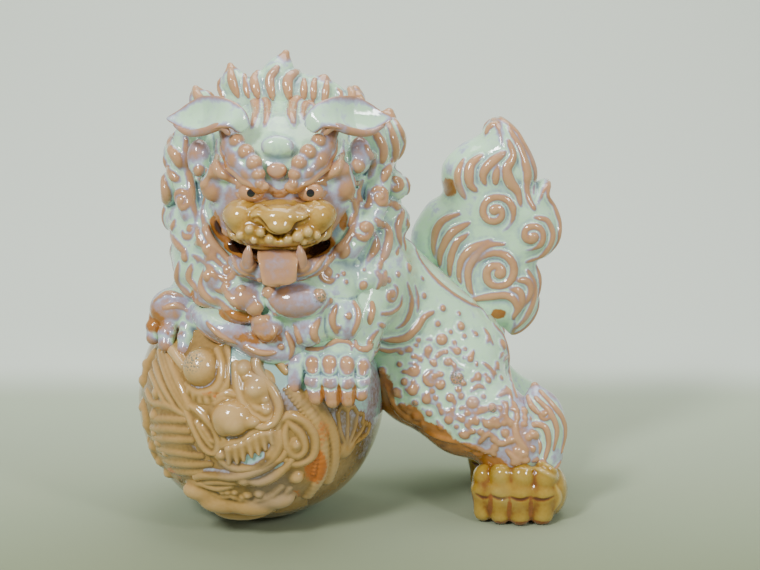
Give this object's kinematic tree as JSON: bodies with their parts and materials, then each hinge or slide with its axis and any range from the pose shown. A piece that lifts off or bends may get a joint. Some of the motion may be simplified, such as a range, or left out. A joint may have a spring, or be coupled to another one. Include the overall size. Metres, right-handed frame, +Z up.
{
  "type": "foo dog statue",
  "caption": "Glazed stoneware guardian lion-dog that rests its front paws on a relief ball, with an open mouth, curled mane and upright flame tail.",
  "frame": {"origin": "middle of the bounding box's base, on the surface the statue stands on", "axes": "+Z up; +X from the ball towards the tail; -Y is the side on show, which the face looks at"},
  "size_m": [0.3418, 0.2156, 0.3652],
  "materials": {
    "mint_glaze": "glossy run glaze, mint where it pools and tan where it breaks over edges",
    "ochre_glaze": "glossy ochre glaze",
    "amber_glaze": "glossy amber glaze",
    "ball_glaze": "glossy tan glaze with lavender pools",
    "eye_enamel": "glossy glaze with a painted pupil"
  },
  "bodies": {
    "root": {"ball": "ball_glaze", "beard_curl_left_1": "mint_glaze", "beard_curl_left_2": "mint_glaze", "beard_curl_right_1": "mint_glaze", "beard_curl_right_2": "mint_glaze", "brow_left": "ochre_glaze", "brow_right": "ochre_glaze", "cheek_left": "mint_glaze", "cheek_right": "mint_glaze", "cloud_band_inner": "ball_glaze", "cloud_band_outer": "ball_glaze", "crest_lock_centre": "mint_glaze", "crest_lock_left": "mint_glaze", "crest_lock_left_low": "mint_glaze", "crest_lock_left_side": "mint_glaze", "crest_lock_right": "mint_glaze", "crest_lock_right_low": "mint_glaze", "dragon_chin_roll": "ball_glaze", "dragon_ear": "ball_glaze", "dragon_eye": "ball_glaze", "dragon_horn": "ball_glaze", "dragon_jaw": "ball_glaze", "dragon_mane": "ball_glaze", "dragon_pearl_eye": "ball_glaze", "dragon_snout": "ball_glaze", "dragon_whisker": "ball_glaze", "ear_left": "mint_glaze", "ear_right": "mint_glaze", "eye_left": "eye_enamel", "eye_right": "eye_enamel", "fang_left": "ochre_glaze", "fang_right": "ochre_glaze", "flame_roll": "ball_glaze", "front_leg_left": "mint_glaze", "front_leg_right": "mint_glaze", "front_paw_left": "ochre_glaze", "front_paw_right": "ochre_glaze", "head": "mint_glaze", "hind_leg_left": "mint_glaze", "hind_leg_right": "mint_glaze", "hind_paw_left": "amber_glaze", "hind_paw_right": "amber_glaze", "hock_tuft_left": "mint_glaze", "hock_tuft_right": "mint_glaze", "lower_jaw": "mint_glaze", "mane_curl_left": "mint_glaze", "mane_curl_right": "mint_glaze", "mane_lock_left_lower": "mint_glaze", "mane_lock_left_upper": "mint_glaze", "mane_lock_right_lower": "mint_glaze", "mane_lock_right_upper": "mint_glaze", "muzzle": "ochre_glaze", "tail": "mint_glaze", "tail_flame_lower": "mint_glaze", "tail_flame_upper": "mint_glaze", "temple_lobe_left": "mint_glaze", "temple_lobe_right": "mint_glaze", "tongue": "ochre_glaze", "torso": "mint_glaze"}
  },
  "joints": []
}
